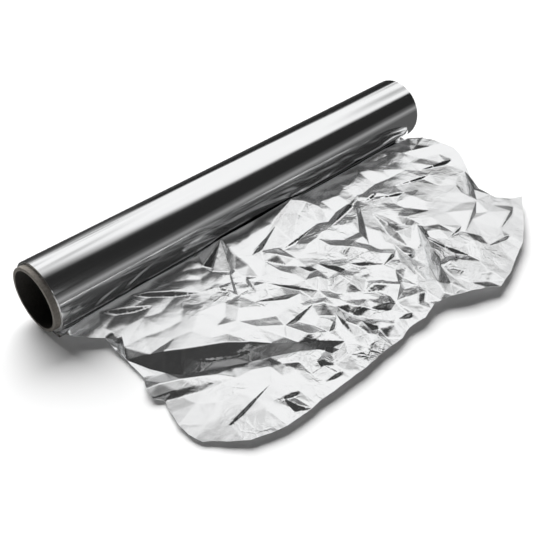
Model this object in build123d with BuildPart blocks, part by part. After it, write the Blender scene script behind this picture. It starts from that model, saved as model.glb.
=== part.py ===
"""Roll of household aluminium foil on a cardboard core, with its loose end lying crumpled in front.

Millimetres. X runs along the roll's axis, -Y is the side that the loose end lies on, and Z is up.
The origin is under the middle of the roll, on the surface that it lies on.
"""

from build123d import *

import math
import os
import random

import numpy as np
from scipy.spatial import Delaunay

# Cardboard core
bore_radius = 17
core_wall = 2.2
core_left_overhang = 3.5
core_right_overhang = 1
core_edge_break = 0.4

# Wound foil
foil_width = 300
winding_thickness = 1.8
rest_flat = 5
turn_step = 0.5
turn_group = 0.6

# Loose end of the foil
sheet_thickness = 0.3
sheet_reach = 150
tail_length = 13
fold_height = 15
roll_clearance = 0.8
facet_size = 10
facet_rise = 0.5
closest_points = 1.2

# How the small facets are laid out
tries_for_each_facet = 12
halving_rounds = 6
facet_seed = 5

# Worked out from the sizes above
core_radius = bore_radius + core_wall
roll_radius = core_radius + winding_thickness
axis_height = math.sqrt(roll_radius**2 - (rest_flat / 2) ** 2)
left_end = -foil_width / 2
right_end = foil_width / 2

# Places on the loose end are (across the width, along the reach, height) in shares of the foil's width,
# the sheet's reach and the fold height. The tail under the roll takes the first share of the reach.
tail_share = 0.087

# Rim of the loose end, from the roll's left end round to its right end
rim_shares = [
    (0, tail_share, 0), (0.012, 0.13, 0.05), (0.03, 0.175, 0.08), (0.05, 0.245, 0.25),
    (0.046, 0.37, 0.14), (0.041, 0.47, 0.12), (0.024, 0.53, 0.28), (0.02, 0.575, 0.2),
    (0.033, 0.602, 0.1), (0.022, 0.66, 0.14), (0.013, 0.72, 0.17), (0.012, 0.77, 0.15),
    (0.018, 0.825, 0.15), (0.045, 0.885, 0.2), (0.07, 0.933, 0.26), (0.088, 0.946, 0.26),
    (0.117, 0.967, 0.26), (0.147, 0.977, 0.28), (0.175, 0.98, 0.28), (0.21, 0.976, 0.28),
    (0.256, 0.981, 0.3), (0.317, 0.986, 0.32), (0.376, 0.978, 0.3), (0.42, 0.98, 0.28),
    (0.45, 0.965, 0.3), (0.49, 0.975, 0.35), (0.53, 0.955, 0.4), (0.56, 0.965, 0.42), (0.6, 1.01, 0.5),
    (0.645, 1.05, 0.42), (0.661, 1.07, 0.36), (0.708, 1.05, 0.32), (0.746, 1.023, 0.34),
    (0.814, 0.975, 0.36), (0.868, 0.912, 0.36), (0.922, 0.838, 0.34), (0.962, 0.785, 0.3),
    (0.935, 0.755, 0.3), (0.915, 0.71, 0.34), (0.915, 0.62, 0.4), (0.94, 0.54, 0.42), (0.967, 0.48, 0.5),
    (0.99, 0.42, 0.58), (1.005, 0.36, 0.64), (1.006, 0.26, 0.6), (1.004, 0.18, 0.4), (1, 0.13, 0.16),
    (1, tail_share, 0),
]

# Main folds: lines of crests, feet and ledges
fold_line_shares = [
    [(0.05, 0.245, 0.25), (0.067, 0.245, 0.13), (0.057, 0.306, 0.13), (0.046, 0.37, 0.14)],
    [(0.067, 0.245, 0.13), (0.072, 0.293, 0.53), (0.059, 0.333, 0.33), (0.046, 0.37, 0.14)],
    [(0.046, 0.37, 0.14), (0.077, 0.418, 0.38), (0.096, 0.453, 0.5), (0.117, 0.49, 0.56),
     (0.144, 0.528, 0.59), (0.182, 0.578, 0.61), (0.212, 0.635, 0.59), (0.235, 0.686, 0.55),
     (0.277, 0.751, 0.48), (0.303, 0.79, 0.46), (0.337, 0.854, 0.4)],
    [(0.046, 0.37, 0.14), (0.063, 0.446, 0.04), (0.076, 0.497, 0.03), (0.092, 0.543, 0.03),
     (0.124, 0.584, 0.05), (0.164, 0.633, 0.07), (0.194, 0.672, 0.12), (0.224, 0.708, 0.18),
     (0.27, 0.765, 0.23), (0.294, 0.805, 0.26), (0.316, 0.838, 0.3), (0.337, 0.854, 0.4)],
    [(0.12, 0.539, 0.33), (0.152, 0.584, 0.34), (0.176, 0.619, 0.34), (0.204, 0.651, 0.37)],
    [(0.12, 0.539, 0.33), (0.147, 0.596, 0.29), (0.176, 0.634, 0.3), (0.204, 0.651, 0.37)],
    [(0.024, 0.53, 0.28), (0.045, 0.55, 0.36), (0.075, 0.585, 0.38), (0.105, 0.62, 0.34),
     (0.13, 0.65, 0.28)],
    [(0.02, 0.575, 0.2), (0.055, 0.608, 0.3), (0.085, 0.64, 0.32), (0.12, 0.672, 0.3)],
    [(0.033, 0.602, 0.1), (0.055, 0.63, 0.14), (0.085, 0.66, 0.2), (0.12, 0.69, 0.27)],
    [(0.165, 0.149, 0.56), (0.198, 0.178, 0.51), (0.226, 0.235, 0.46), (0.25, 0.3, 0.37)],
    [(0.165, 0.149, 0.56), (0.192, 0.202, 0.28), (0.22, 0.26, 0.26), (0.25, 0.3, 0.37)],
    [(0.085, 0.135, 0.36), (0.13, 0.178, 0.46), (0.178, 0.228, 0.38)],
    [(0.085, 0.135, 0.36), (0.123, 0.203, 0.24), (0.178, 0.228, 0.38)],
    [(0.298, 0.15, 0.52), (0.3, 0.18, 0.4), (0.371, 0.135, 0.8)],
    [(0.306, 0.225, 0.34), (0.371, 0.135, 0.8)],
    [(0.314, 0.2, 0.26), (0.371, 0.135, 0.8)],
    [(0.34, 0.28, 0.36), (0.371, 0.135, 0.8)],
    [(0.332, 0.27, 0.26), (0.371, 0.135, 0.8)],
    [(0.371, 0.135, 0.8), (0.388, 0.195, 0.58), (0.402, 0.251, 0.42)],
    [(0.371, 0.135, 0.8), (0.46, 0.137, 0.78), (0.576, 0.13, 0.78)],
    [(0.576, 0.13, 0.78), (0.495, 0.18, 0.54), (0.402, 0.251, 0.42)],
    [(0.03, 0.12, 0.12), (0.06, 0.14, 0.3), (0.1, 0.149, 0.46), (0.165, 0.149, 0.56), (0.24, 0.149, 0.57),
     (0.298, 0.15, 0.52)],
    [(0.62, 0.114, 0.52), (0.7, 0.13, 0.58), (0.8, 0.14, 0.62), (0.9, 0.14, 0.6), (0.98, 0.125, 0.4)],
    [(0.7, 0.61, 0.56), (0.672, 0.69, 0.68), (0.64, 0.78, 0.74), (0.612, 0.86, 0.72), (0.59, 0.94, 0.58)],
    [(0.7, 0.61, 0.56), (0.658, 0.712, 0.34), (0.62, 0.795, 0.28), (0.592, 0.88, 0.28),
     (0.572, 0.94, 0.34)],
]

# Broad swells between the folds
swell_shares = [
    (0.06, 0.2, 0.26), (0.1, 0.11, 0.3), (0.2, 0.11, 0.38), (0.28, 0.11, 0.4), (0.1, 0.24, 0.34),
    (0.25, 0.2, 0.43), (0.16, 0.27, 0.345), (0.2, 0.3, 0.335), (0.29, 0.29, 0.33), (0.1, 0.33, 0.33),
    (0.17, 0.36, 0.36), (0.26, 0.4, 0.38), (0.13, 0.42, 0.44), (0.2, 0.48, 0.47), (0.25, 0.59, 0.52),
    (0.3, 0.52, 0.42), (0.31, 0.66, 0.46), (0.36, 0.74, 0.44), (0.06, 0.7, 0.3), (0.12, 0.76, 0.38),
    (0.18, 0.72, 0.3), (0.2, 0.82, 0.36), (0.07, 0.8, 0.32), (0.13, 0.88, 0.36), (0.22, 0.9, 0.34),
    (0.27, 0.88, 0.34), (0.35, 0.9, 0.38), (0.42, 0.88, 0.42), (0.48, 0.85, 0.44), (0.36, 0.38, 0.33),
    (0.4, 0.65, 0.46), (0.38, 0.5, 0.4), (0.45, 0.4, 0.36), (0.52, 0.5, 0.42), (0.5, 0.65, 0.48),
    (0.45, 0.29, 0.32), (0.55, 0.3, 0.32), (0.56, 0.2, 0.46), (0.63, 0.2, 0.44), (0.63, 0.29, 0.32),
    (0.62, 0.4, 0.4), (0.6, 0.55, 0.48), (0.58, 0.72, 0.5), (0.53, 0.78, 0.46), (0.7, 0.2, 0.46),
    (0.72, 0.28, 0.33), (0.72, 0.39, 0.4), (0.71, 0.5, 0.48), (0.8, 0.2, 0.48), (0.82, 0.28, 0.33),
    (0.84, 0.39, 0.42), (0.81, 0.51, 0.5), (0.91, 0.2, 0.48), (0.93, 0.28, 0.38), (0.94, 0.38, 0.46),
    (0.9, 0.47, 0.5), (0.87, 0.6, 0.48), (0.78, 0.64, 0.52), (0.74, 0.78, 0.5), (0.68, 0.86, 0.48),
    (0.66, 0.97, 0.44), (0.72, 0.95, 0.42), (0.79, 0.88, 0.42), (0.85, 0.76, 0.44),
]

# Creases: both ends as (across, along), the rise, and the width of the side that faces the near left
crease_shares = [
    (0.325, 0.287, 0.293, 0.401, 0.08, 0.01),
    (0.343, 0.338, 0.322, 0.441, 0.1, 0.012),
    (0.387, 0.28, 0.487, 0.21, 0.1, 0.012),
    (0.452, 0.317, 0.572, 0.292, 0.08, 0.01),
    (0.581, 0.348, 0.703, 0.272, 0.16, 0.018),
    (0.696, 0.329, 0.747, 0.318, 0.1, 0.012),
    (0.694, 0.299, 0.581, 0.556, 0.22, 0.026),
    (0.676, 0.414, 0.635, 0.664, 0.2, 0.024),
    (0.619, 0.623, 0.578, 0.843, 0.12, 0.014),
    (0.607, 0.653, 0.572, 0.801, 0.14, 0.015),
    (0.548, 0.682, 0.606, 0.65, 0.14, 0.014),
    (0.509, 0.576, 0.551, 0.678, 0.1, 0.012),
    (0.466, 0.486, 0.488, 0.593, 0.14, 0.014),
    (0.434, 0.439, 0.452, 0.512, 0.12, 0.012),
    (0.3, 0.477, 0.375, 0.563, 0.12, 0.012),
    (0.344, 0.386, 0.404, 0.601, 0.08, 0.01),
    (0.289, 0.654, 0.368, 0.642, 0.14, 0.014),
    (0.395, 0.712, 0.359, 0.856, 0.22, 0.022),
    (0.333, 0.785, 0.377, 0.744, 0.12, 0.014),
    (0.436, 0.806, 0.48, 0.853, 0.2, 0.022),
    (0.486, 0.848, 0.535, 0.789, 0.16, 0.018),
    (0.451, 0.91, 0.483, 0.928, 0.12, 0.014),
    (0.607, 0.716, 0.634, 0.705, 0.14, 0.014),
    (0.667, 0.714, 0.693, 0.88, 0.12, 0.014),
    (0.948, 0.501, 0.871, 0.671, 0.3, 0.02),
    (0.866, 0.676, 0.752, 0.78, 0.14, 0.014),
    (0.881, 0.343, 0.966, 0.403, 0.12, 0.012),
    (0.794, 0.345, 0.882, 0.404, 0.08, 0.01),
    (0.732, 0.36, 0.784, 0.409, 0.1, 0.012),
    (0.706, 0.761, 0.765, 0.741, 0.08, 0.01),
    (0.751, 0.896, 0.813, 0.914, 0.1, 0.01),
    (0.815, 0.865, 0.91, 0.806, 0.1, 0.012),
    (0.166, 0.89, 0.172, 0.965, 0.16, 0.018),
    (0.147, 0.874, 0.198, 0.901, 0.08, 0.012),
    (0.065, 0.845, 0.175, 0.812, 0.07, 0.009),
    (0.27, 0.844, 0.284, 0.901, 0.18, 0.018),
    (0.242, 0.932, 0.283, 0.94, 0.08, 0.012),
    (0.284, 0.313, 0.29, 0.368, 0.08, 0.01),
    (0.699, 0.507, 0.706, 0.641, 0.22, 0.03),
    (0.691, 0.675, 0.643, 0.7, 0.2, 0.022),
    (0.297, 0.8, 0.318, 0.862, 0.16, 0.016),
    (0.397, 0.83, 0.404, 0.898, 0.14, 0.014),
]
crease_middle_share = 0.46
furthest_share = 1.07


def placed(across, along, height=0):
    """Point in millimetres of a place given in shares."""
    depth = tail_length + (sheet_reach - tail_length) * (along - tail_share) / (1 - tail_share)
    return (left_end + foil_width * across, -depth, fold_height * height)


def stepped(line):
    """The line's points with others between them, half a facet apart."""
    points = [line[0]]
    for start, end in zip(line, line[1:]):
        steps = max(1, round(2 * math.dist(start, end) / facet_size))
        for step in range(1, steps + 1):
            points.append(tuple(a + (b - a) * step / steps for a, b in zip(start, end)))
    return points


def inside(loop, place):
    """Whether a place in plan is inside a closed loop of points."""
    odd = False
    for start, end in zip(loop, loop[1:] + loop[:1]):
        if (start[1] > place[1]) != (end[1] > place[1]):
            part = (place[1] - start[1]) / (end[1] - start[1])
            if place[0] < start[0] + (end[0] - start[0]) * part:
                odd = not odd
    return odd


class Net:
    """Points of the loose end, and the pairs of them that edges have to join."""

    def __init__(self, rim):
        self.rim = rim
        self.points = list(rim)
        self.pairs = [(i, (i + 1) % len(rim)) for i in range(len(rim))]

    def gap(self, point):
        """Distance in plan from a point to the nearest one of the net."""
        return min(math.hypot(there[0] - point[0], there[1] - point[1]) for there in self.points)

    def add_line(self, line):
        """Adds a line of points that stays an edge, using again those that are there."""
        places = []
        for point in line:
            if point not in self.points:
                self.points.append(point)
            places.append(self.points.index(point))
        self.pairs += list(zip(places, places[1:]))

    def triangles(self):
        """Triangles inside the rim, after points are added halfway along the pairs that no edge joins."""
        for _ in range(halving_rounds):
            corners = Delaunay(np.array(self.points)[:, :2]).simplices
            edges = {frozenset((int(t[i]), int(t[i - 1]))) for t in corners for i in range(3)}
            pairs = []
            for start, end in self.pairs:
                if frozenset((start, end)) in edges:
                    pairs.append((start, end))
                    continue
                middle = tuple((a + b) / 2 for a, b in zip(self.points[start], self.points[end]))
                self.points.append(middle)
                pairs += [(start, len(self.points) - 1), (len(self.points) - 1, end)]
            if len(pairs) == len(self.pairs):
                break
            self.pairs = pairs
        middles = np.array(self.points)[corners].mean(axis=1)
        return [[int(i) for i in t] for t, middle in zip(corners, middles) if inside(self.rim, middle)]

    def height_at(self, triangles, place):
        """Height of the net at a place in plan."""
        best, height = -math.inf, 0
        for triangle in triangles:
            (x0, y0, z0), (x1, y1, z1), (x2, y2, z2) = (self.points[i] for i in triangle)
            area = (x1 - x0) * (y2 - y0) - (x2 - x0) * (y1 - y0)
            u = ((place[0] - x0) * (y2 - y0) - (x2 - x0) * (place[1] - y0)) / area
            v = ((x1 - x0) * (place[1] - y0) - (place[0] - x0) * (y1 - y0)) / area
            if min(u, v, 1 - u - v) > best:
                best = min(u, v, 1 - u - v)
                height = z0 + u * (z1 - z0) + v * (z2 - z0)
        return height


def main_net():
    """The main forms alone: rim, folds and swells."""
    net = Net([placed(*place) for place in rim_shares])
    for line in fold_line_shares:
        net.add_line(stepped([placed(*place) for place in line]))
    net.points += [placed(*place) for place in swell_shares]
    return net


def creased_net():
    """The main forms with the creases and small facets of crumpled foil."""
    base = main_net()
    base_triangles = base.triangles()
    net = main_net()
    for a0, l0, a1, l1, rise, width in crease_shares:
        start, end = placed(a0, l0), placed(a1, l1)
        run = (end[0] - start[0], end[1] - start[1])
        side = (-run[1], run[0]) if run[0] < run[1] else (run[1], -run[0])
        length = math.hypot(*run)
        crest = [a + b * crease_middle_share for a, b in zip(start, run)]
        foot = [a + b * sheet_reach * width / length for a, b in zip(crest, side)]
        heights = [base.height_at(base_triangles, place) for place in (start, end, crest, foot)]
        lift = fold_height * rise / 2
        points = [(*start[:2], heights[0]), (*end[:2], heights[1])]
        points += [(*crest, heights[2] + lift), (*foot, heights[3] - lift)]
        if min(net.gap(point) for point in points) > closest_points:
            net.add_line([points[0], points[2], points[1]])
            net.add_line([points[0], points[3], points[1]])
    places = random.Random(facet_seed)
    for _ in range(round(tries_for_each_facet * foil_width * sheet_reach / facet_size**2)):
        place = placed(places.uniform(0, 1), places.uniform(tail_share, furthest_share))
        if inside(net.rim, place) and net.gap(place) > facet_size / 2:
            height = base.height_at(base_triangles, place) + places.uniform(-facet_rise, facet_rise)
            net.points.append((place[0], place[1], height))
    return net


def under_roll(point):
    """The point as a vector, held between the table and the roll's underside."""
    depth = -point[1]
    height = max(0, point[2])
    if tail_length < depth < roll_radius:
        roof = axis_height - math.sqrt(roll_radius**2 - depth**2)
        height = min(height, roof - roll_clearance)
    return Vector(point[0], point[1], max(0, height))


# Cardboard core: a plain tube, its edges slightly broken
with BuildPart() as core_tube:
    with BuildSketch(Plane.YZ.offset(left_end - core_left_overhang)):
        with Locations((0, axis_height)):
            Circle(core_radius)
            Circle(bore_radius, mode=Mode.SUBTRACT)
    extrude(amount=core_left_overhang + foil_width + core_right_overhang)
    chamfer(core_tube.edges().filter_by(GeomType.CIRCLE), length=core_edge_break)
core_tube.part.label = "core_tube"

# Loose end: flat facets between sharp folds, as thin foil lies, closed by its four edges
net = creased_net()
triangles = net.triangles()
under = [under_roll(point) for point in net.points]
over = [point + Vector(0, 0, sheet_thickness) for point in under]
facets = []
open_edges = {}
for triangle in triangles:
    for side in (under, over):
        facets.append(Face(Wire.make_polygon([side[i] for i in triangle])))
    for start, end in zip(triangle, triangle[1:] + triangle[:1]):
        if open_edges.pop(frozenset((start, end)), None) is None:
            open_edges[frozenset((start, end))] = (start, end)
for start, end in open_edges.values():
    facets.append(Face(Wire.make_polygon([under[start], under[end], over[end]])))
    facets.append(Face(Wire.make_polygon([under[start], over[end], over[start]])))
loose_end = Solid(Shell(facets))

# Foil: the wound turns, the flat they rest on, the tail that leaves them underneath and the loose end
with BuildPart() as foil:
    with BuildSketch(Plane.YZ.offset(left_end)):
        with Locations((0, axis_height)):
            Circle(roll_radius)
        with Locations((-tail_length, 0)):
            Rectangle(tail_length, sheet_thickness, align=(Align.MIN, Align.MIN))
        with Locations((0, axis_height)):
            Circle(core_radius, mode=Mode.SUBTRACT)
        with Locations((0, 0)):
            Rectangle(2 * roll_radius, roll_radius, align=(Align.CENTER, Align.MAX), mode=Mode.SUBTRACT)
    extrude(amount=foil_width)
    # A few turns stand back from the others at both ends of the roll
    for end_plane in (Plane.YZ.offset(left_end), Plane.YZ.offset(right_end - turn_step)):
        with BuildSketch(end_plane):
            with Locations((0, axis_height)):
                Circle(core_radius + turn_group)
                Circle(core_radius, mode=Mode.SUBTRACT)
        extrude(amount=turn_step, mode=Mode.SUBTRACT)
    add(loose_end)
foil.part.label = "foil"

os.makedirs("parts", exist_ok=True)
export_step(core_tube.part, "parts/core_tube.step")
export_step(foil.part, "parts/foil.step")
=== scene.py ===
import math
import random

import bmesh
import bpy
import numpy as np
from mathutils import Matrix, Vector, noise
from mathutils.geometry import delaunay_2d_cdt


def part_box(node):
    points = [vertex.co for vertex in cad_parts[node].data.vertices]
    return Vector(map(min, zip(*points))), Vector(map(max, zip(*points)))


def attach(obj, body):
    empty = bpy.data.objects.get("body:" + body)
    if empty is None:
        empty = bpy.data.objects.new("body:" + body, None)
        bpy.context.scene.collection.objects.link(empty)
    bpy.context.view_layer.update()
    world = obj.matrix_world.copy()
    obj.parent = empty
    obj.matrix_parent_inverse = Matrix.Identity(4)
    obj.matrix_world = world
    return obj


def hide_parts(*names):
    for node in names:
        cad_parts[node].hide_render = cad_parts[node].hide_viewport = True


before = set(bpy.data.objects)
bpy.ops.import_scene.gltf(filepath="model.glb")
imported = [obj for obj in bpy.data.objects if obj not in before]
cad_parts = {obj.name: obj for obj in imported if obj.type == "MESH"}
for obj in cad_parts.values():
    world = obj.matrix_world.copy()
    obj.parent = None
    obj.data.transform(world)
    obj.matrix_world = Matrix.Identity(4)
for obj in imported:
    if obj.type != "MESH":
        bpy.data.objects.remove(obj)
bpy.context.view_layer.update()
mm = 0.001

# Roll, as the frame holds it
core_low, core_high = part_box("core_tube")
foil_low, foil_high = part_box("foil")
core_radius = (core_high.z - core_low.z) / 2
axis_height = (core_high.z + core_low.z) / 2
roll_radius = foil_high.z - axis_height
foil_width = 300 * mm
left_end = -foil_width / 2
right_end = foil_width / 2
bore_radius = 17 * mm

# Board of the core
core_edge = 0.35 * mm
ply_thickness = 0.45 * mm
seam_pitch = 90 * mm
seam_width_share = 0.012
seam_brightness = 0.6
ply_brightness = 0.8
# Painted shade inside the tube's hole: how dark the board is drawn there, and the depths past its wall over
# which that fades out
bore_painted_shade_level = 0.2
bore_painted_shade_depths = (0.1 * mm, 0.4 * mm)
speckle_range = (0.3, 0.7, 0.8, 1.15)
board_colour = (0.26, 0.24, 0.215)

# Wound turns of the foil
turns = 16
turn_step = 0.16 * mm
roll_edge = 0.12 * mm
wave_height = 0.035 * mm
foil_colour = (0.92, 0.925, 0.93, 1)

# Loose end of the foil: its plan and main folds follow the solid's, and finer creases are added here
sheet_reach = 150 * mm
tail_length = 13 * mm
fold_height = 15 * mm
sheet_thickness = 0.1 * mm
roll_clearance = 0.6 * mm
tail_share = tail_length / sheet_reach
tuck_share = 0.03
furthest_share = 1.07

# Places on the loose end are (across the width, along the reach, height) in shares of the foil's width,
# the sheet's reach and the fold height. The rim runs from the roll's left end round to its right end.
rim_shares = [
    (0, tail_share, 0), (0.005, 0.121, 0.33), (0.01, 0.165, 0.43), (0.028, 0.202, 0.39),
    (0.048, 0.238, 0.34), (0.049, 0.26, 0.23), (0.0465, 0.298, 0.17), (0.046, 0.365, 0.14),
    (0.041, 0.47, 0.12), (0.024, 0.53, 0.28), (0.02, 0.575, 0.2), (0.033, 0.602, 0.1),
    (0.022, 0.66, 0.14), (0.013, 0.72, 0.17), (0.012, 0.77, 0.15), (0.018, 0.825, 0.15),
    (0.045, 0.885, 0.2), (0.07, 0.933, 0.26), (0.088, 0.946, 0.26), (0.117, 0.967, 0.26),
    (0.147, 0.977, 0.28), (0.175, 0.98, 0.28), (0.21, 0.976, 0.28), (0.256, 0.981, 0.3),
    (0.317, 0.986, 0.32), (0.376, 0.978, 0.3), (0.42, 0.98, 0.28), (0.45, 0.965, 0.3),
    (0.49, 0.975, 0.35), (0.53, 0.955, 0.4), (0.56, 0.965, 0.42), (0.6, 1.01, 0.5), (0.645, 1.05, 0.42),
    (0.661, 1.07, 0.36), (0.708, 1.05, 0.32), (0.746, 1.023, 0.34), (0.814, 0.975, 0.36),
    (0.868, 0.912, 0.36), (0.922, 0.838, 0.34), (0.962, 0.785, 0.3), (0.935, 0.755, 0.3),
    (0.915, 0.71, 0.34), (0.915, 0.62, 0.4), (0.94, 0.54, 0.42), (0.967, 0.48, 0.5), (0.99, 0.42, 0.58),
    (1.005, 0.36, 0.62), (1.006, 0.26, 0.58), (1.004, 0.18, 0.48), (1, 0.13, 0.28), (1, tail_share, 0),
]

# The rim with the stretch that is tucked under the roll
whole_rim_shares = [(0, tuck_share, 0)] + rim_shares + [(1, tuck_share, 0)]

# Main folds: lines of crests, feet and ledges
fold_line_shares = [
    [(0.048, 0.238, 0.34), (0.064, 0.262, 0.17), (0.0545, 0.3, 0.12), (0.046, 0.365, 0.14)],
    [(0.048, 0.238, 0.34), (0.071, 0.273, 0.36), (0.058, 0.322, 0.33), (0.046, 0.365, 0.14)],
    [(0.046, 0.365, 0.14), (0.077, 0.418, 0.38), (0.096, 0.453, 0.5), (0.117, 0.49, 0.56),
     (0.144, 0.528, 0.59), (0.182, 0.578, 0.61), (0.212, 0.635, 0.59), (0.235, 0.686, 0.55),
     (0.277, 0.751, 0.48), (0.303, 0.79, 0.46), (0.337, 0.854, 0.4)],
    [(0.046, 0.365, 0.14), (0.063, 0.446, 0.04), (0.076, 0.497, 0.03), (0.092, 0.543, 0.03),
     (0.124, 0.584, 0.05), (0.164, 0.633, 0.07), (0.194, 0.672, 0.12), (0.224, 0.708, 0.18),
     (0.27, 0.765, 0.23), (0.294, 0.805, 0.26), (0.316, 0.838, 0.3), (0.337, 0.854, 0.4)],
    [(0.12, 0.539, 0.33), (0.152, 0.584, 0.34), (0.176, 0.619, 0.34), (0.204, 0.651, 0.37)],
    [(0.12, 0.539, 0.33), (0.147, 0.596, 0.29), (0.176, 0.634, 0.3), (0.204, 0.651, 0.37)],
    [(0.024, 0.53, 0.28), (0.045, 0.55, 0.36), (0.075, 0.585, 0.38), (0.105, 0.62, 0.34),
     (0.13, 0.65, 0.28)],
    [(0.02, 0.575, 0.2), (0.055, 0.608, 0.3), (0.085, 0.64, 0.32), (0.12, 0.672, 0.3)],
    [(0.033, 0.602, 0.1), (0.054, 0.634, 0.2), (0.083, 0.665, 0.25), (0.12, 0.691, 0.28)],
    [(0.143, 0.136, 0.57), (0.176, 0.169, 0.52), (0.215, 0.222, 0.43), (0.247, 0.288, 0.345)],
    [(0.143, 0.136, 0.57), (0.172, 0.183, 0.42), (0.209, 0.238, 0.325), (0.247, 0.288, 0.345)],
    [(0.073, 0.129, 0.57), (0.106, 0.16, 0.52), (0.133, 0.19, 0.455), (0.159, 0.223, 0.395)],
    [(0.073, 0.129, 0.57), (0.1, 0.176, 0.415), (0.13, 0.206, 0.375), (0.159, 0.223, 0.395)],
    [(0.298, 0.15, 0.5), (0.3, 0.18, 0.4), (0.371, 0.135, 0.8)],
    [(0.306, 0.225, 0.34), (0.371, 0.135, 0.8)],
    [(0.314, 0.2, 0.26), (0.371, 0.135, 0.8)],
    [(0.34, 0.28, 0.36), (0.371, 0.135, 0.8)],
    [(0.332, 0.27, 0.26), (0.371, 0.135, 0.8)],
    [(0.371, 0.135, 0.8), (0.383, 0.206, 0.69), (0.394, 0.268, 0.6)],
    [(0.371, 0.135, 0.8), (0.46, 0.137, 0.78), (0.576, 0.13, 0.78)],
    [(0.576, 0.13, 0.78), (0.488, 0.194, 0.68), (0.394, 0.268, 0.6)],
    [(0.012, 0.118, 0.45), (0.05, 0.12, 0.56), (0.1, 0.12, 0.59), (0.2, 0.12, 0.6),
     (0.285, 0.125, 0.59), (0.298, 0.15, 0.5)],
    [(0.62, 0.118, 0.52), (0.7, 0.125, 0.54), (0.8, 0.13, 0.56), (0.9, 0.13, 0.55), (0.98, 0.125, 0.4)],
    [(0.7, 0.61, 0.56), (0.672, 0.69, 0.68), (0.64, 0.78, 0.74), (0.612, 0.86, 0.72),
     (0.59, 0.94, 0.58)],
    [(0.7, 0.61, 0.56), (0.658, 0.712, 0.34), (0.62, 0.795, 0.28), (0.592, 0.88, 0.28),
     (0.572, 0.94, 0.34)],
]

# Broad swells between the folds
swell_shares = [
    (0.04, 0.165, 0.46), (0.09, 0.24, 0.37), (0.25, 0.2, 0.425), (0.16, 0.27, 0.345), (0.2, 0.3, 0.335),
    (0.29, 0.29, 0.33), (0.1, 0.33, 0.33), (0.085, 0.29, 0.33), (0.17, 0.36, 0.36), (0.26, 0.4, 0.38),
    (0.13, 0.42, 0.44), (0.2, 0.48, 0.47), (0.25, 0.59, 0.52), (0.3, 0.52, 0.42), (0.31, 0.66, 0.46),
    (0.36, 0.74, 0.44), (0.06, 0.7, 0.3), (0.12, 0.76, 0.38), (0.18, 0.72, 0.3), (0.2, 0.82, 0.36),
    (0.07, 0.8, 0.32), (0.13, 0.88, 0.36), (0.22, 0.9, 0.34), (0.27, 0.88, 0.34), (0.35, 0.9, 0.38),
    (0.42, 0.88, 0.42), (0.48, 0.85, 0.44), (0.36, 0.38, 0.33), (0.4, 0.65, 0.46), (0.38, 0.5, 0.4),
    (0.45, 0.4, 0.36), (0.52, 0.5, 0.42), (0.5, 0.65, 0.48), (0.45, 0.29, 0.32), (0.55, 0.3, 0.32),
    (0.56, 0.2, 0.46), (0.63, 0.2, 0.44), (0.63, 0.29, 0.32), (0.62, 0.4, 0.4), (0.6, 0.55, 0.48),
    (0.58, 0.72, 0.5), (0.53, 0.78, 0.46), (0.7, 0.2, 0.46), (0.72, 0.28, 0.33), (0.72, 0.39, 0.4),
    (0.71, 0.5, 0.48), (0.8, 0.2, 0.48), (0.82, 0.28, 0.33), (0.84, 0.39, 0.42), (0.81, 0.51, 0.5),
    (0.91, 0.2, 0.48), (0.93, 0.28, 0.38), (0.94, 0.38, 0.46), (0.9, 0.47, 0.5), (0.87, 0.6, 0.48),
    (0.78, 0.64, 0.52), (0.74, 0.78, 0.5), (0.68, 0.86, 0.48), (0.66, 0.97, 0.44), (0.72, 0.95, 0.42),
    (0.79, 0.88, 0.42), (0.85, 0.76, 0.44), (0.06, 0.205, 0.43), (0.064, 0.238, 0.39), (0.21, 0.16, 0.5),
    (0.26, 0.16, 0.5), (0.13, 0.25, 0.365),
]

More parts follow.
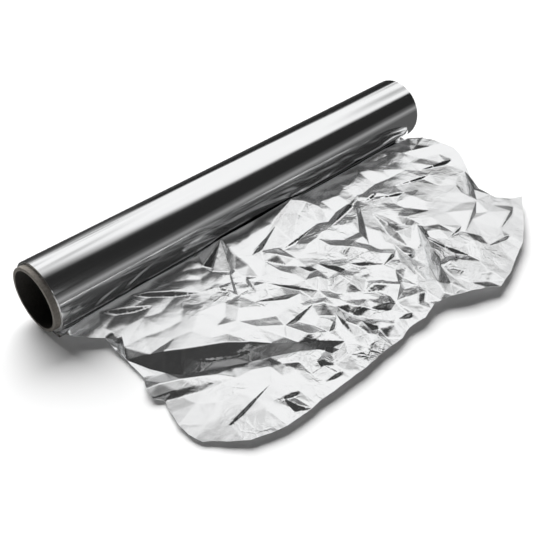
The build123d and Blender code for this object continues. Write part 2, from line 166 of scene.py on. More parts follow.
# Fine creases: both ends as (across, along), the rise, and the width of the steep side, near and left of it
crease_shares = [
    (0.325, 0.287, 0.293, 0.401, 0.08, 0.01),
    (0.343, 0.338, 0.322, 0.441, 0.1, 0.012),
    (0.387, 0.28, 0.487, 0.21, 0.1, 0.012),
    (0.452, 0.317, 0.572, 0.292, 0.08, 0.01),
    (0.581, 0.348, 0.703, 0.272, 0.16, 0.018),
    (0.696, 0.329, 0.747, 0.318, 0.1, 0.012),
    (0.694, 0.299, 0.581, 0.556, 0.22, 0.026),
    (0.676, 0.414, 0.635, 0.664, 0.2, 0.024),
    (0.619, 0.623, 0.578, 0.843, 0.12, 0.014),
    (0.607, 0.653, 0.572, 0.801, 0.14, 0.015),
    (0.548, 0.682, 0.606, 0.65, 0.14, 0.014),
    (0.509, 0.576, 0.551, 0.678, 0.1, 0.012),
    (0.466, 0.486, 0.488, 0.593, 0.14, 0.014),
    (0.434, 0.439, 0.452, 0.512, 0.12, 0.012),
    (0.3, 0.477, 0.375, 0.563, 0.12, 0.012),
    (0.344, 0.386, 0.404, 0.601, 0.08, 0.01),
    (0.289, 0.654, 0.368, 0.642, 0.14, 0.014),
    (0.395, 0.712, 0.359, 0.856, 0.22, 0.022),
    (0.333, 0.785, 0.377, 0.744, 0.12, 0.014),
    (0.436, 0.806, 0.48, 0.853, 0.2, 0.022),
    (0.486, 0.848, 0.535, 0.789, 0.16, 0.018),
    (0.451, 0.91, 0.483, 0.928, 0.12, 0.014),
    (0.607, 0.716, 0.634, 0.705, 0.14, 0.014),
    (0.667, 0.714, 0.693, 0.88, 0.12, 0.014),
    (0.948, 0.501, 0.871, 0.671, 0.3, 0.02),
    (0.866, 0.676, 0.752, 0.78, 0.14, 0.014),
    (0.881, 0.343, 0.966, 0.403, 0.12, 0.012),
    (0.794, 0.345, 0.882, 0.404, 0.08, 0.01),
    (0.732, 0.36, 0.784, 0.409, 0.1, 0.012),
    (0.706, 0.761, 0.765, 0.741, 0.08, 0.01),
    (0.751, 0.896, 0.813, 0.914, 0.1, 0.01),
    (0.815, 0.865, 0.91, 0.806, 0.1, 0.012),
    (0.166, 0.89, 0.172, 0.965, 0.16, 0.018),
    (0.147, 0.874, 0.198, 0.901, 0.08, 0.012),
    (0.065, 0.845, 0.175, 0.812, 0.07, 0.009),
    (0.27, 0.844, 0.284, 0.901, 0.18, 0.018),
    (0.242, 0.932, 0.283, 0.94, 0.08, 0.012),
    (0.284, 0.313, 0.29, 0.368, 0.08, 0.01),
    (0.699, 0.507, 0.706, 0.641, 0.22, 0.03),
    (0.691, 0.675, 0.643, 0.7, 0.2, 0.022),
    (0.297, 0.8, 0.318, 0.862, 0.16, 0.016),
    (0.397, 0.83, 0.404, 0.898, 0.14, 0.014),
]

# Where the foil is crumpled: middle, reach in both directions, and how densely
crumple_shares = [
    (0.5, 0.75, 0.22, 0.3, 1.0),
    (0.4, 0.85, 0.2, 0.22, 0.9),
    (0.58, 0.5, 0.2, 0.3, 0.6),
    (0.35, 0.4, 0.14, 0.25, 0.6),
    (0.68, 0.9, 0.1, 0.2, 0.7),
    (0.95, 0.62, 0.08, 0.15, 0.7),
    (0.7, 0.5, 0.12, 0.2, 0.5),
    (0.16, 0.6, 0.13, 0.08, 0.5),
    (0.2, 0.85, 0.2, 0.2, 0.42),
    (0.85, 0.3, 0.25, 0.3, 0.3),
]

# Shares of a zone's reach up to which it is fully crumpled and where it has faded out
crumple_full_share = 0.625
crumple_end_share = 1.25

# Shape of a fine crease, blunt at one end: places along it with its width there, and how much they vary
blunt_first_shares = ((0.28, 1), (0.62, 0.6))
blunt_last_shares = ((0.38, 0.6), (0.72, 1))
crease_shift_share = 0.06

# Small facets between the creases
facet_seed = 11
facet_tries = 9000
smooth_spacing = 13 * mm
crumpled_spacing = 6.8 * mm
closest_share = 0.75
smooth_slope_share = 0.06
crumple_slope_share = 0.32
rim_spacing = 4 * mm
rim_shift = 0.3 * mm
same_point = 0.1 * mm
finest_edge = 1.7 * mm
halving_rounds = 4
crease_angle = math.radians(48)

# Wrinkles, and how much of them and of the pressed creases the smooth foil has
wrinkle_height = 0.14 * mm
wrinkle_size = 5 * mm
finer_wrinkle_height_share = 0.5
finer_wrinkle_times = 2.3
smooth_wrinkle_share = 0.35
smooth_crease_share = 0.14


def placed(across, along, height=0):
    """Place in metres of a point given in shares."""
    return (left_end + foil_width * across, -sheet_reach * along, fold_height * height)


class Net:
    """Points joined by lines, triangulated inside the loose end's rim."""

    def __init__(self, rim):
        self.points = list(rim)
        self.rim = list(range(len(rim)))
        self.lines = []

    def add(self, point):
        """Index of a point, which is used again where it is already there."""
        for index, there in enumerate(self.points):
            if abs(there[0] - point[0]) + abs(there[1] - point[1]) < same_point:
                return index
        self.points.append(point)
        return len(self.points) - 1

    def add_line(self, points):
        """A line of points that stays an edge of the net."""
        places = [self.add(point) for point in points]
        self.lines += [pair for pair in zip(places, places[1:]) if pair[0] != pair[1]]

    def add_main_forms(self):
        """The main folds and the broad swells between them."""
        for line in fold_line_shares:
            self.add_line([placed(*place) for place in line])
        for place in swell_shares:
            self.add(placed(*place))

    def triangulate(self, height_at=None):
        """Points and triangles of the net. Where lines cross, height_at gives the new point's height."""
        flat = [Vector(p[:2]) / mm for p in self.points]
        inside_only, closest = 1, 0.001
        net = delaunay_2d_cdt(flat, self.lines, [self.rim], inside_only, closest)
        corners, faces, sources = net[0], net[2], net[3]
        points = np.array([(c.x * mm, c.y * mm, 0) for c in corners])
        for index, source in enumerate(sources):
            if source:
                points[index, 2] = self.points[source[0]][2]
            elif height_at is not None:
                points[index, 2] = height_at(points[index:index + 1])[0]
        return points, np.array(faces)


def heights_on(net_points, net_faces, places):
    """Heights of a triangulated net at places in plan."""
    corner, first, second = (net_points[net_faces[:, k]] for k in range(3))
    side, other = first - corner, second - corner
    area = side[:, 0] * other[:, 1] - side[:, 1] * other[:, 0]
    heights = np.zeros(len(places))
    batch = 2000
    for start in range(0, len(places), batch):
        off = places[start:start + batch, None, :2] - corner[None, :, :2]
        u = (off[..., 0] * other[:, 1] - off[..., 1] * other[:, 0]) / area
        v = (side[:, 0] * off[..., 1] - side[:, 1] * off[..., 0]) / area
        best = np.argmax(np.minimum(np.minimum(u, v), 1 - u - v), axis=1)
        row = np.arange(len(best))
        rise = u[row, best] * side[best, 2] + v[row, best] * other[best, 2]
        heights[start:start + batch] = corner[best, 2] + rise
    return heights


def crumple_at(across, along):
    """How densely the foil is crumpled at a place, from 0 to 1."""
    dense = 0
    for a, l, radius_across, radius_along, strength in crumple_shares:
        reach = math.hypot((across - a) / radius_across, (along - l) / radius_along)
        faded = (crumple_end_share - reach) / (crumple_end_share - crumple_full_share)
        dense = max(dense, strength * min(1, max(0, faded)))
    return dense


def crumple_under(point):
    """How densely the foil is crumpled at a point in metres, from 0 to 1."""
    return crumple_at((point[0] - left_end) / foil_width, -point[1] / sheet_reach)


def between(smooth, crumpled, dense):
    """Value between that of smooth foil and that of fully crumpled foil."""
    return smooth + (crumpled - smooth) * dense


def inside(loop, place):
    """Whether a place in plan is inside a closed loop."""
    odd = False
    x, y = place[:2]
    for (x0, y0, _), (x1, y1, _) in zip(loop, loop[1:] + loop[:1]):
        if (y0 > y) != (y1 > y) and x < x0 + (x1 - x0) * (y - y0) / (y1 - y0):
            odd = not odd
    return odd


def uneven_rim(rng):
    """The rim in short, slightly uneven steps. It stays straight where it lies on the floor by the roll."""
    rim = []
    corners = [placed(*place) for place in whole_rim_shares]
    for start, end in zip(corners, corners[1:]):
        steps = max(1, round(math.dist(start, end) / rim_spacing)) if start[2] + end[2] > 0 else 1
        for step in range(steps):
            shift = 0 if step == 0 else rng.uniform(-rim_shift, rim_shift)
            x, y, z = (s + (e - s) * step / steps for s, e in zip(start, end))
            rim.append((x + shift, y + shift, z))
    rim.append(corners[-1])
    return rim


def add_crease(net, rng, height_at, start, end, rise, width):
    """A raised crest and a low foot that meet at both ends, with a steep side between them."""
    run = end - start
    across_run = Vector((-run.y, run.x, 0)).normalized()
    if across_run.x + across_run.y > 0:
        across_run.negate()
    crest, foot = [start], [start]
    for part, swell in blunt_first_shares if rng.random() < 0.5 else blunt_last_shares:
        part += rng.uniform(-crease_shift_share, crease_shift_share)
        top = start + run * part
        low = top + across_run * sheet_reach * width * swell
        crest.append(Vector((top.x, top.y, fold_height * rise * swell / 2)))
        foot.append(Vector((low.x, low.y, -fold_height * rise * swell / 2)))
    for line in (crest + [end], foot + [end]):
        bases = height_at(np.array([tuple(p) for p in line]))
        net.add_line([(p.x, p.y, p.z + base) for p, base in zip(line, bases)])


def add_facets(net, rim, rng, height_at):
    """Points at uneven heights, closer together and steeper where the foil is crumpled."""
    taken = np.array(net.points)[:, :2]
    for _ in range(facet_tries):
        across, along = rng.uniform(0, 1), rng.uniform(tail_share, furthest_share)
        place = placed(across, along)
        dense = crumple_at(across, along)
        spacing = between(smooth_spacing, crumpled_spacing, dense)
        near = np.min(np.hypot(taken[:, 0] - place[0], taken[:, 1] - place[1]))
        if near < spacing * closest_share or not inside(rim, place):
            continue
        slope = crumple_slope_share * between(smooth_slope_share, 1, dense)
        rise = rng.uniform(-1, 1) * slope * spacing
        net.points.append((place[0], place[1], height_at(np.array([place]))[0] + rise))
        taken = np.vstack([taken, place[:2]])


def under_roll(points):
    """The points with their heights kept between the table and the roll's underside."""
    depth = -points[:, 1]
    roof = axis_height - np.sqrt(np.maximum(0, roll_radius**2 - depth**2)) - roll_clearance
    roof = np.where(depth >= roll_radius, 1, roof)
    points[:, 2] = np.maximum(sheet_thickness, np.minimum(points[:, 2], roof))
    return points


def divided(points, faces):
    """Points and triangles of the same surface, with no edge longer than finest_edge."""
    shape = bmesh.new()
    corners = [shape.verts.new(p) for p in points]
    for face in faces:
        shape.faces.new([corners[i] for i in face])
    for _ in range(halving_rounds):
        long_edges = [edge for edge in shape.edges if edge.calc_length() > finest_edge]
        if long_edges:
            bmesh.ops.subdivide_edges(shape, edges=long_edges, cuts=1)
            bmesh.ops.triangulate(shape, faces=[face for face in shape.faces if len(face.verts) > 3])
    shape.verts.index_update()
    points = np.array([tuple(v.co) for v in shape.verts])
    faces = np.array([[v.index for v in face.verts] for face in shape.faces])
    shape.free()
    return points, faces


def wrinkle_at(point):
    """Height of the wrinkles at a point."""
    spot = Vector(point) / wrinkle_size
    wrinkle = noise.noise(spot) + finer_wrinkle_height_share * noise.noise(spot * finer_wrinkle_times)
    return wrinkle_height * between(smooth_wrinkle_share, 1, crumple_under(point)) * wrinkle


def sheet_surface():
    """Points and triangles of the top of the loose end."""
    main = Net([placed(*place) for place in whole_rim_shares])
    main.add_main_forms()
    main_points, main_faces = main.triangulate()

    def main_height(places):
        return heights_on(main_points, main_faces, places)

    rng = random.Random(facet_seed)
    rim = uneven_rim(rng)
    fine = Net(rim)
    fine.add_main_forms()
    for a0, l0, a1, l1, rise, width in crease_shares:
        add_crease(fine, rng, main_height, Vector(placed(a0, l0)), Vector(placed(a1, l1)), rise, width)
    add_facets(fine, rim, rng, main_height)
    points, faces = divided(*fine.triangulate(main_height))
    points[:, 2] += [wrinkle_at(point) for point in points]
    return under_roll(points), faces


def mesh_object(name, points, faces, smooth=True):
    """A new mesh object of these points and faces."""
    mesh = bpy.data.meshes.new(name)
    mesh.from_pydata([tuple(p) for p in points], [], faces)
    mesh.validate()
    mesh.update()
    for polygon in mesh.polygons:
        polygon.use_smooth = smooth
    piece = bpy.data.objects.new(name, mesh)
    bpy.context.scene.collection.objects.link(piece)
    return piece


def shell_of(points, faces, thickness):
    """Points and faces of a closed thin shell under a surface of triangles."""
    count = len(points)
    ring = {}
    for i, j, k in faces.tolist():
        for start, end in ((i, j), (j, k), (k, i)):
            if ring.pop((end, start), None) is None:
                ring[(start, end)] = True
    rim = [(end, start, start + count, end + count) for start, end in ring]
    both = np.concatenate([points, points - np.array([0, 0, thickness])])
    return both, faces.tolist() + (faces[:, ::-1] + count).tolist() + rim


# Materials

def new_material(name):
    """A new node material and its shader."""
    material = bpy.data.materials.new(name)
    material.use_nodes = True
    return material, material.node_tree.nodes["Principled BSDF"]


def put(tree, value, socket):
    """Gives a socket a value or another node's output."""
    if isinstance(value, bpy.types.NodeSocket):
        tree.links.new(value, socket)
    else:
        socket.default_value = value


def math_of(tree, operation, *values):
    """Output of a math node."""
    node = tree.nodes.new("ShaderNodeMath")
    node.operation = operation
    for socket, value in zip(node.inputs, values):
        put(tree, value, socket)
    return node.outputs[0]


def vector_math_of(tree, operation, *values):
    """Output of a vector math node."""
    node = tree.nodes.new("ShaderNodeVectorMath")
    node.operation = operation
    for socket, value in zip(node.inputs, values):
        put(tree, value, socket)
    return node.outputs[0]


def range_of(tree, value, low, high, start, end, kind="LINEAR"):
    """Output of a node that turns the range low to high into start to end."""
    node = tree.nodes.new("ShaderNodeMapRange")
    node.interpolation_type = kind
    put(tree, value, node.inputs["Value"])
    for name, number in (("From Min", low), ("From Max", high), ("To Min", start), ("To Max", end)):
        put(tree, number, node.inputs[name])
    return node.outputs["Result"]


def noise_of(tree, vector, scale, detail):
    """A noise node."""
    node = tree.nodes.new("ShaderNodeTexNoise")
    node.inputs["Scale"].default_value = scale
    node.inputs["Detail"].default_value = detail
    tree.links.new(vector, node.inputs["Vector"])
    return node


def object_place(tree):
    """Places on the piece, in metres."""
    return tree.nodes.new("ShaderNodeTexCoord").outputs["Object"]


def add_bump(tree, shader, height, distance):
    """Gives a shader relief of this height map."""
    bump = tree.nodes.new("ShaderNodeBump")
    bump.inputs["Distance"].default_value = distance
    bump.inputs["Strength"].default_value = 1
    tree.links.new(height, bump.inputs["Height"])
    tree.links.new(bump.outputs["Normal"], shader.inputs["Normal"])


def bright_foil(name, roughness):
    """Bright rolled aluminium foil, without its relief."""
    material, shader = new_material(name)
    shader.inputs["Base Color"].default_value = foil_colour
    shader.inputs["Metallic"].default_value = 1
    shader.inputs["Roughness"].default_value = roughness
    return material, shader


def wound_foil_material():
    """Foil pulled tight round the roll, with faint marks drawn out along it."""
    roughness = 0.11
    mark_depth = 0.012 * mm
    marks_per_metre = 420
    lengthwise_share = 0.05
    material, shader = bright_foil("foil_turns", roughness)
    tree = material.node_tree
    drawn_out = vector_math_of(tree, "MULTIPLY", object_place(tree), (lengthwise_share, 1, 1))
    add_bump(tree, shader, noise_of(tree, drawn_out, marks_per_metre, 3).outputs["Fac"], mark_depth)
    return material


def pressed_creases(tree, place, cells_per_metre, bend, ridge_width):
    """Ridges along the borders of bent cells."""
    bending = noise_of(tree, place, cells_per_metre * 0.7, 2).outputs["Color"]
    cells = tree.nodes.new("ShaderNodeTexVoronoi")
    cells.feature = "DISTANCE_TO_EDGE"
    cells.inputs["Scale"].default_value = cells_per_metre
    bent = vector_math_of(tree, "MULTIPLY_ADD", bending, (bend, bend, bend), place)
    tree.links.new(bent, cells.inputs["Vector"])
    return range_of(tree, cells.outputs["Distance"], 0, ridge_width, 1, 0, "SMOOTHSTEP")


def crumpled_foil_material():
    """Foil with a net of fine creases, pressed in unevenly, over small dents."""
    roughness = 0.2
    relief_depth = 0.14 * mm
    wide_net = {"cells_per_metre": 130, "bend": 0.006, "ridge_width": 0.12}
    fine_net = {"cells_per_metre": 330, "bend": 0.003, "ridge_width": 0.16}
    fine_height_share = 0.35
    dents_per_metre = 260
    dent_height_share = 0.9
    patches_per_metre = 45
    patch_range = (0.42, 0.68)
    material, shader = bright_foil("foil_crumpled", roughness)
    tree = material.node_tree
    place = object_place(tree)
    attribute = tree.nodes.new("ShaderNodeAttribute")
    attribute.attribute_name = "crumple"
    crumple = attribute.outputs["Fac"]
    patches = noise_of(tree, place, patches_per_metre, 2).outputs["Fac"]
    pressed = range_of(tree, patches, *patch_range, 0, crumple)
    fine = math_of(tree, "MULTIPLY", pressed_creases(tree, place, **fine_net), fine_height_share)
    creases = math_of(tree, "ADD", pressed_creases(tree, place, **wide_net), fine)
    dent_height = math_of(tree, "MULTIPLY", crumple, dent_height_share)
    dents = math_of(tree, "MULTIPLY", noise_of(tree, place, dents_per_metre, 3).outputs["Fac"], dent_height)
    height = math_of(tree, "ADD", math_of(tree, "MULTIPLY", creases, pressed), dents)
    add_bump(tree, shader, height, relief_depth)
    return material


def board_material():
    """Grey board of the core, with plies at its ends and a spiral seam, and painted shade that makes it
    darker inside the tube's hole.
    """
    fibre_depth = 0.05 * mm
    fibres_per_metre = 900
    material, shader = new_material("core_board")
    shader.inputs["Roughness"].default_value = 0.85
    shader.inputs["Specular IOR Level"].default_value = 0.2
    tree = material.node_tree
    place = object_place(tree)
    apart = tree.nodes.new("ShaderNodeSeparateXYZ")
    tree.links.new(place, apart.inputs[0])
    x, y = apart.outputs["X"], apart.outputs["Y"]
    up = math_of(tree, "SUBTRACT", apart.outputs["Z"], axis_height)
    squares = math_of(tree, "ADD", math_of(tree, "POWER", y, 2), math_of(tree, "POWER", up, 2))
    radius = math_of(tree, "SQRT", squares)
    turn = math_of(tree, "MULTIPLY", math_of(tree, "ARCTAN2", up, y), 1 / (2 * math.pi))
    winding = math_of(tree, "ADD", math_of(tree, "MULTIPLY", x, 1 / seam_pitch), turn)
    from_seam = math_of(tree, "PINGPONG", winding, 0.5)
    seam = range_of(tree, from_seam, 0, seam_width_share, seam_brightness, 1)
    through_ply = math_of(tree, "PINGPONG", radius, ply_thickness)
    plies = range_of(tree, through_ply, 0, ply_thickness, ply_brightness, 1)
    # Painted shade: the board is drawn darker just inside the tube's hole
    bore_start, bore_end = (bore_radius + depth for depth in bore_painted_shade_depths)
    painted_bore_shade = range_of(tree, radius, bore_start, bore_end, bore_painted_shade_level, 1)
    fibres = noise_of(tree, place, fibres_per_metre, 4).outputs["Fac"]
    speckle = range_of(tree, fibres, *speckle_range)
    board = math_of(tree, "MULTIPLY", seam, plies)
    shade = math_of(tree, "MULTIPLY", board, math_of(tree, "MULTIPLY", painted_bore_shade, speckle))
    tint = tree.nodes.new("ShaderNodeVectorMath")
    tint.operation = "SCALE"
    tint.inputs[0].default_value = board_colour
    tree.links.new(shade, tint.inputs["Scale"])
    tree.links.new(tint.outputs[0], shader.inputs["Base Color"])
    add_bump(tree, shader, fibres, fibre_depth)
    return material


# Pieces

def ring_faces(rows, around):
    """Faces between rows of points that go round the axis, and from the last row back to the first."""
    faces = []
    for k in range(rows):
        row, following = k * around, (k + 1) % rows * around
        for i in range(around):
            j = (i + 1) % around
            faces.append((row + i, row + j, following + j, following + i))
    return faces


def make_roll():
    """The wound turns: a ring with a small flat under it, faint waves, and turns that show at its ends."""
    rng = random.Random(4)
    around = 224
    stations = 121
    sharp_angle = math.radians(35)
    waves_along = 16
    waves_around = 1.6
    finer_wave_times = 2.7
    finer_wave_share = 0.5
    outer = roll_radius - roll_edge
    xs = [left_end + foil_width * j / (stations - 1) for j in range(1, stations - 1)]
    profile = [(x, roll_radius) for x in [left_end + roll_edge] + xs + [right_end - roll_edge]]
    face = []
    for turn in range(turns + 1):
        depth = rng.uniform(0, turn_step) if turn else 0
        face.append((depth, outer - (outer - core_radius) * turn / turns))
    profile += [(right_end - depth, radius) for depth, radius in face]
    profile += [(left_end + depth, radius) for depth, radius in reversed(face)]
    points = []
    for x, radius in profile:
        for i in range(around):
            angle = 2 * math.pi * i / around
            y, z = math.cos(angle), math.sin(angle)
            spot = Vector((x * waves_along, y * waves_around, z * waves_around))
            wave = noise.noise(spot) + finer_wave_share * noise.noise(spot * finer_wave_times) - 1
            reach = radius + (wave_height * wave if radius > core_radius else 0)
            points.append((x, reach * y, max(0, axis_height + reach * z)))
    piece = mesh_object("foil_roll", points, ring_faces(len(profile), around))
    piece.data.set_sharp_from_angle(angle=sharp_angle)
    piece.data.materials.append(wound_foil_material())
    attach(piece, "root")
    return piece


def make_core():
    """The board tube: its cut ends are slightly rounded and stand proud of the foil."""
    around = 160
    stations = 24
    sharp_angle = math.radians(50)
    shoulder = 0.3 * core_edge
    corner = [(0, core_edge), (shoulder, shoulder), (core_edge, 0)]
    start, end = core_low.x, core_high.x
    middle = [start + (end - start) * j / stations for j in range(1, stations)]
    profile = [(start + inward, core_radius - drop) for inward, drop in corner]
    profile += [(x, core_radius) for x in middle]
    profile += [(end - inward, core_radius - drop) for inward, drop in reversed(corner)]
    profile += [(end - inward, bore_radius + drop) for inward, drop in corner]
    profile += [(x, bore_radius) for x in reversed(middle)]
    profile += [(start + inward, bore_radius + drop) for inward, drop in reversed(corner)]
    points = []
    for x, radius in profile:
        for i in range(around):
            angle = 2 * math.pi * i / around
            points.append((x, radius * math.cos(angle), axis_height + radius * math.sin(angle)))
    piece = mesh_object("core_board_tube", points, ring_faces(len(profile), around))
    piece.data.set_sharp_from_angle(angle=sharp_angle)
    piece.data.materials.append(board_material())
    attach(piece, "root")
    return piece


def make_sheet():
    """The loose, crumpled end of the foil."""
    points, faces = shell_of(*sheet_surface(), sheet_thickness)
    piece = mesh_object("foil_loose_end", points, faces)
    piece.data.set_sharp_from_angle(angle=crease_angle)
    crumple = piece.data.attributes.new("crumple", "FLOAT", "POINT")
    for item, point in zip(crumple.data, points):
        item.value = between(smooth_crease_share, 1, crumple_under(point))
    piece.data.materials.append(crumpled_foil_material())
    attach(piece, "root")
    return piece


roll = make_roll()
sheet = make_sheet()
core = make_core()
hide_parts("foil")
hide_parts("foil")
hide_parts("core_tube")

# Camera, at the photograph's place
camera_azimuth = math.radians(45.3)
camera_elevation = math.radians(38.9)
camera_distance = 548 * mm
aim_right = -22.5 * mm
aim_up = 41.6 * mm
photo_size = 560
photo_focal_length = 850
sensor_width = 36

level_share = math.cos(camera_elevation)
ahead = Vector((math.sin(camera_azimuth) * level_share, math.cos(camera_azimuth) * level_share,
                -math.sin(camera_elevation)))
rightward = Vector((math.cos(camera_azimuth), -math.sin(camera_azimuth), 0))
upward = rightward.cross(ahead)
camera_data = bpy.data.cameras.new("camera")
camera_data.sensor_width = sensor_width
camera_data.lens = photo_focal_length / photo_size * sensor_width
camera = bpy.data.objects.new("camera", camera_data)
bpy.context.scene.collection.objects.link(camera)
camera.location = -ahead * camera_distance - rightward * aim_right - upward * aim_up
camera.rotation_mode = "QUATERNION"
camera.rotation_quaternion = ahead.to_track_quat("-Z", "Y")
bpy.context.scene.camera = camera


# Stage: white floor and world
floor_half = 3
floor_colour = (0.93, 0.93, 0.93, 1)
floor_glow = 0.05
world_light = 0.04
white = (1, 1, 1, 1)


def shown_ray(tree):
    """1 for a ray from the camera, off a mirror or through glass."""
    path = tree.nodes.new("ShaderNodeLightPath")
    seen = math_of(tree, "MAXIMUM", path.outputs["Is Camera Ray"], path.outputs["Is Glossy Ray"])
    return math_of(tree, "MAXIMUM", seen, path.outputs["Is Transmission Ray"])


def make_floor():
    """Wide white floor, a little brighter to the eye than its light makes it."""
    material, shader = new_material("floor_white")
    shader.inputs["Base Color"].default_value = floor_colour
    shader.inputs["Roughness"].default_value = 1
    shader.inputs["Specular IOR Level"].default_value = 0
    shader.inputs["Emission Color"].default_value = white
    tree = material.node_tree
    glow = math_of(tree, "MULTIPLY", shown_ray(tree), floor_glow)
    tree.links.new(glow, shader.inputs["Emission Strength"])
    corners = [(-floor_half, -floor_half, 0), (floor_half, -floor_half, 0),
               (floor_half, floor_half, 0), (-floor_half, floor_half, 0)]
    piece = mesh_object("floor", corners, [(0, 1, 2, 3)], smooth=False)
    piece.data.materials.append(material)


def make_world():
    """White all round, which lights the object only faintly."""
    world = bpy.data.worlds.new("studio")
    bpy.context.scene.world = world
    world.use_nodes = True
    tree = world.node_tree
    background = tree.nodes["Background"]
    background.inputs["Color"].default_value = white
    strength = range_of(tree, shown_ray(tree), 0, 1, world_light, 1)
    tree.links.new(strength, background.inputs["Strength"])


make_floor()
make_world()

# Dark studio that only mirrors see: a soft ceiling, a card in front, and grey strips low down
card_height = 0.8
room_side = 2.6
room_front = -0.34
room_back = 2.6
room_steps = 72
dark_level = 0.022
back_level = 0.33
panel_front_xs = [-1.6, 0.13, 0.5, 1.25, 2.5]
panel_front_ys = [0.3, -0.18, -0.27, -0.46, -0.8]
panel_soft_edges = [0.7, 0.45, 0.16, 0.16, 0.16]
panel_left = (-1.0, 0.15)
panel_right = (2.55, 2.2)
panel_notch_x = (1.15, 1.42)
panel_notch_y = (0.95, 1.3)
panel_fade_start = 1.44
panel_mottle = 0.05
panel_mottle_size = 0.16
panel_patch = 1.15
panel_patch_size = 0.24
panel_patch_from = 0.35
panel_patch_clear = (0.2, 0.45)
panel_patch_most = 0.8
dark_mottle = 2.2
dark_mottle_size = 0.09
dark_mottle_xs = (0.15, -0.15)
front_card_level = 1.0
front_card_xs = (0.02, -0.14)
front_card_foot = (0.03, 0.13)
front_card_top = (0.36, 0.24)
mat_height = 0.5 * mm
mat_ys = [0.001, 0.02, 0.045, room_back]
mat_levels = [0.42, 0.25, 0.06, 0.06]
low_card_y = -0.2
side_mat_x = 0.155
side_mat_ys = [low_card_y, 0]
side_mat_levels = [0.1, 0.1]
low_card_zs = [0, 0.02, 0.045, 0.075, 0.12]
low_card_levels = [0.12, 0.2, 0.34, 0.12, 0.022]

# The roll mirrors the ceiling along the line where x squared times this is y squared plus its height squared
mirrored_curve = 1 / ahead.x**2 - 1


def ramp(value, start, end):
    """Smooth rise from 0 at start to 1 at end."""
    part = min(1, max(0, (value - start) / (end - start)))
    return part * part * (3 - 2 * part)


def unevenness(x, y, size, seed):
    """Random value that changes smoothly from place to place, mostly between 0 and 1."""
    return 0.5 + noise.noise(Vector((x, y, seed)) / size)


def dark_glow(x, other):
    """Brightness of the dark parts of the room, uneven on the left."""
    uneven = max(0, unevenness(x, other, dark_mottle_size, 3))
    return dark_level * (1 + dark_mottle * uneven * ramp(x, *dark_mottle_xs))


def fade_to_back(y):
    """Brightness of the ceiling from its bright part to the top of the back wall."""
    return 1 + (back_level - 1) * min(1, max(0, (y - panel_fade_start) / (room_back - panel_fade_start)))


def ceiling_glow(x, y):
    """Brightness of the ceiling at a place, with grey patches away from the line that the roll mirrors."""
    front = float(np.interp(x, panel_front_xs, panel_front_ys))
    soft_edge = float(np.interp(x, panel_front_xs, panel_soft_edges))
    bright = ramp(y, front, front + soft_edge) * ramp(x, *panel_left) * ramp(x, *panel_right)
    bright *= 1 - ramp(x, *panel_notch_x) * ramp(y, *panel_notch_y)
    bright *= 1 - panel_mottle * min(1, max(0, unevenness(x, y, panel_mottle_size, 0)))
    aside = abs(x - math.sqrt((y * y + card_height**2) / mirrored_curve))
    patch = max(0, unevenness(x, y, panel_patch_size, 7) - panel_patch_from)
    bright *= 1 - min(panel_patch_most, panel_patch * patch * ramp(aside, *panel_patch_clear))
    return max(dark_glow(x, y), bright * fade_to_back(y))


def back_glow(x, z):
    """Brightness of the back wall at a place."""
    return dark_level + (ceiling_glow(x, room_back) - dark_level) * z / card_height


def front_glow(x, z):
    """Brightness of the front wall, which has a soft card on the left."""
    share = ramp(x, *front_card_xs) * ramp(z, *front_card_foot) * ramp(z, *front_card_top)
    return max(dark_glow(x, z), front_card_level * share)


def card_grid(place, glow_at):
    """One card made of small cells: points, faces and brightness."""
    steps = [step / room_steps for step in range(room_steps + 1)]
    points = [place(i, j) for j in steps for i in steps]
    row = len(steps)
    faces = [(j * row + i, j * row + i + 1, (j + 1) * row + i + 1, (j + 1) * row + i)
             for j in range(room_steps) for i in range(room_steps)]
    return points, faces, [glow_at(*point) for point in points]


def card(points, levels):
    """One card of four corners: points, face and brightness."""
    return points, [(0, 1, 2, 3)], levels


def strips(low_x, high_x, place, spots, levels):
    """Cards between neighbouring lines across the room, each line with its own brightness."""
    return [card([place(low_x, near), place(high_x, near), place(high_x, far), place(low_x, far)],
                 [near_level, near_level, far_level, far_level])
            for near, far, near_level, far_level in zip(spots, spots[1:], levels, levels[1:])]


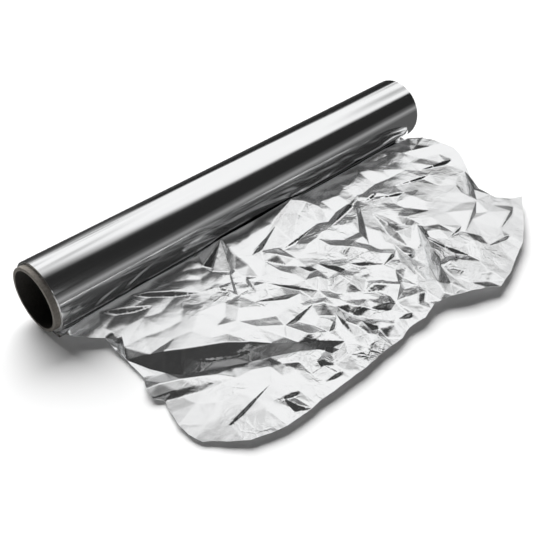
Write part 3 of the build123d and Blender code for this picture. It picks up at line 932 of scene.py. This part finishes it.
def room_cards():
    """All cards of the studio."""
    width, depth = 2 * room_side, room_back - room_front
    cards = [
        card_grid(lambda i, j: (width * (i - 0.5), room_front + depth * j, card_height),
                  lambda x, y, z: ceiling_glow(x, y)),
        card_grid(lambda i, j: (width * (i - 0.5), room_back, card_height * j),
                  lambda x, y, z: back_glow(x, z)),
        card_grid(lambda i, j: (width * (i - 0.5), room_front, card_height * j),
                  lambda x, y, z: front_glow(x, z)),
    ]
    for side in (-room_side, room_side):
        cards.append(card([(side, room_front, 0), (side, room_back, 0), (side, room_back, card_height),
                           (side, room_front, card_height)], [dark_level] * 4))
    cards += strips(-room_side, room_side, lambda x, y: (x, y, mat_height), mat_ys, mat_levels)
    cards += strips(side_mat_x, room_side, lambda x, y: (x, y, mat_height), side_mat_ys, side_mat_levels)
    cards += strips(-room_side, room_side, lambda x, z: (x, low_card_y, z), low_card_zs, low_card_levels)
    return cards


def make_room():
    """The cards as one mesh that glows as each place on it says."""
    room_points, room_faces, room_glow = [], [], []
    for points, faces, levels in room_cards():
        room_faces += [tuple(len(room_points) + corner for corner in face) for face in faces]
        room_points += points
        room_glow += levels
    cards = mesh_object("studio_cards", room_points, room_faces, smooth=False)
    glow = cards.data.attributes.new("glow", "FLOAT", "POINT")
    for item, level in zip(glow.data, room_glow):
        item.value = level
    material, shader = new_material("studio_card")
    shader.inputs["Base Color"].default_value = (0, 0, 0, 1)
    shader.inputs["Specular IOR Level"].default_value = 0
    shader.inputs["Roughness"].default_value = 1
    shader.inputs["Emission Color"].default_value = white
    attribute = material.node_tree.nodes.new("ShaderNodeAttribute")
    attribute.attribute_name = "glow"
    material.node_tree.links.new(attribute.outputs["Fac"], shader.inputs["Emission Strength"])
    cards.data.materials.append(material)
    cards.visible_camera = False
    cards.visible_diffuse = False
    cards.visible_shadow = False
    cards.visible_transmission = False


make_room()

# Soft lamp from behind on the right
lamp_from = Vector((0.48, 0.8, 0.7))
lamp_angle = math.radians(60)
lamp_energy = 6.2

lamp_data = bpy.data.lights.new("soft_lamp", "SUN")
lamp_data.angle = lamp_angle
lamp_data.energy = lamp_energy
lamp = bpy.data.objects.new("soft_lamp", lamp_data)
bpy.context.scene.collection.objects.link(lamp)
lamp.rotation_mode = "QUATERNION"
lamp.rotation_quaternion = lamp_from.to_track_quat("Z", "Y")
lamp.visible_glossy = False
lamp.visible_camera = False

scene = bpy.context.scene
scene.view_settings.view_transform = "Standard"
